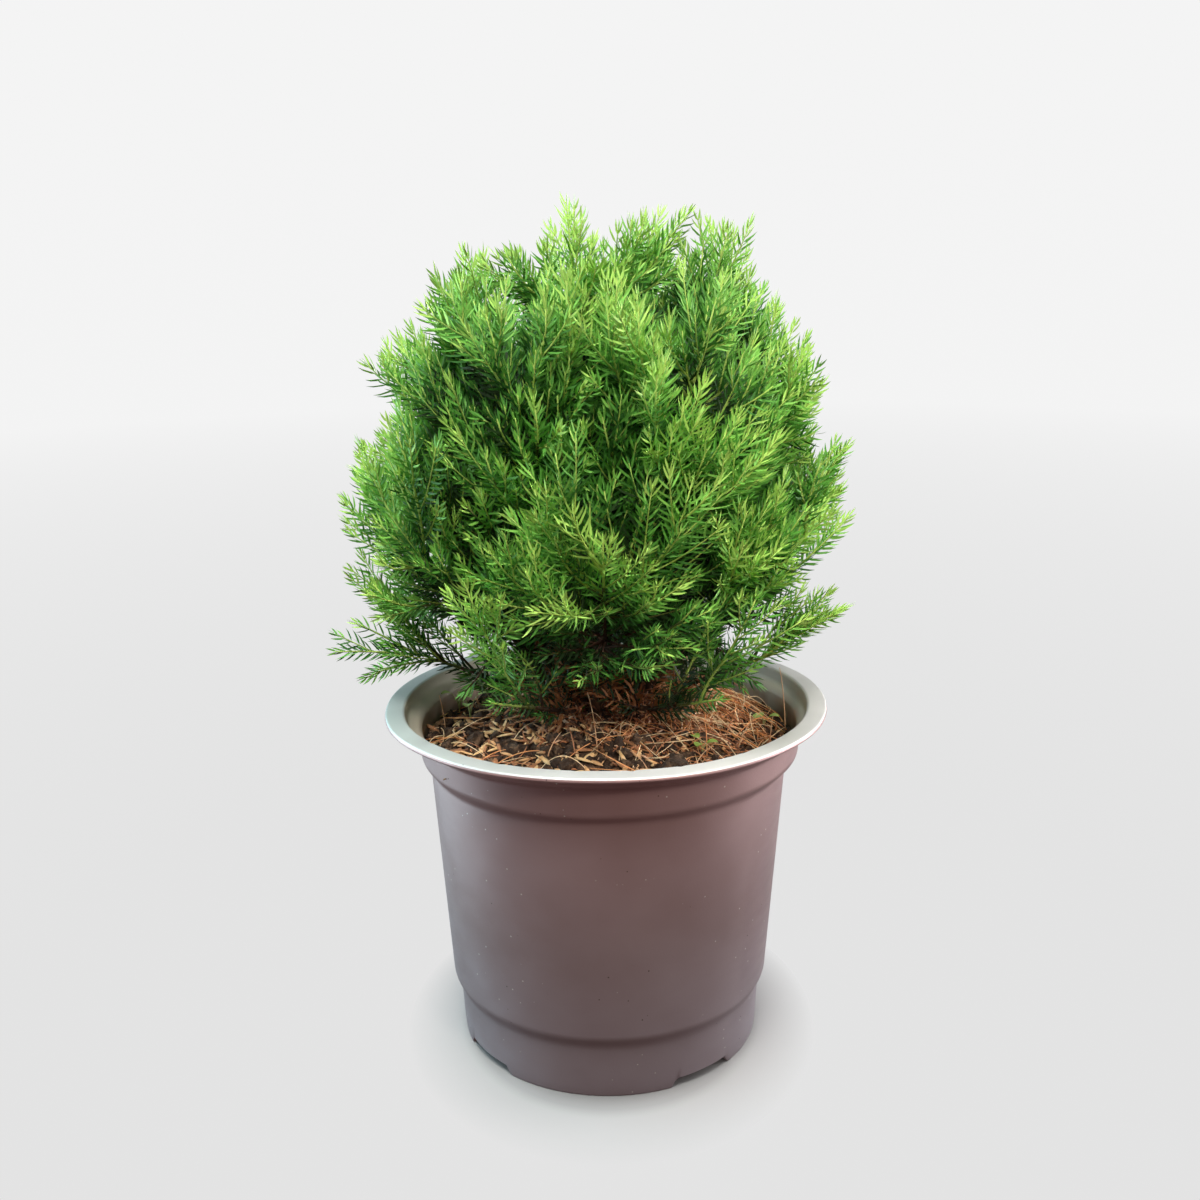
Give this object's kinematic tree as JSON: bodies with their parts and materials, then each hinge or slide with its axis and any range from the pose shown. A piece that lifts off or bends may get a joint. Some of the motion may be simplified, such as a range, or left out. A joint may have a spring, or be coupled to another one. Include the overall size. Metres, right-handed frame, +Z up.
{
  "type": "potted conifer",
  "caption": "Young bushy needle-leaved conifer with a round crown, growing in a round thin-walled plastic nursery pot filled with potting soil.",
  "frame": {"origin": "centre of the pot's flat underside, on the surface that the plant stands on", "axes": "+Z up along the pot's axis, -Y towards the side of the plant that is seen from the front, +X to the right of it"},
  "size_m": [0.19, 0.1821, 0.3044],
  "materials": {
    "pot": "satin",
    "soil": "matte",
    "bark": "matte",
    "foliage": "matte"
  },
  "bodies": {
    "root": {"pot": "pot", "soil": "soil", "trunk": "bark", "main_stem_1": "bark", "main_stem_2": "bark", "main_stem_3": "bark", "main_stem_4": "bark", "main_stem_5": "bark", "main_stem_6": "bark", "low_bough_1": "bark", "low_bough_2": "bark", "low_bough_3": "bark", "low_bough_4": "bark", "low_bough_5": "bark", "low_bough_6": "bark", "upper_bough_1": "bark", "upper_bough_2": "bark", "upper_bough_3": "bark", "upper_bough_4": "bark", "upper_bough_5": "bark", "foliage_low_1": "foliage", "foliage_low_2": "foliage", "foliage_low_3": "foliage", "foliage_low_4": "foliage", "foliage_low_5": "foliage", "foliage_low_6": "foliage", "foliage_middle_1": "foliage", "foliage_middle_2": "foliage", "foliage_middle_3": "foliage", "foliage_middle_4": "foliage", "foliage_middle_5": "foliage", "foliage_middle_6": "foliage", "foliage_upper_1": "foliage", "foliage_upper_2": "foliage", "foliage_upper_3": "foliage", "foliage_upper_4": "foliage", "foliage_upper_5": "foliage", "foliage_top": "foliage"}
  },
  "joints": []
}
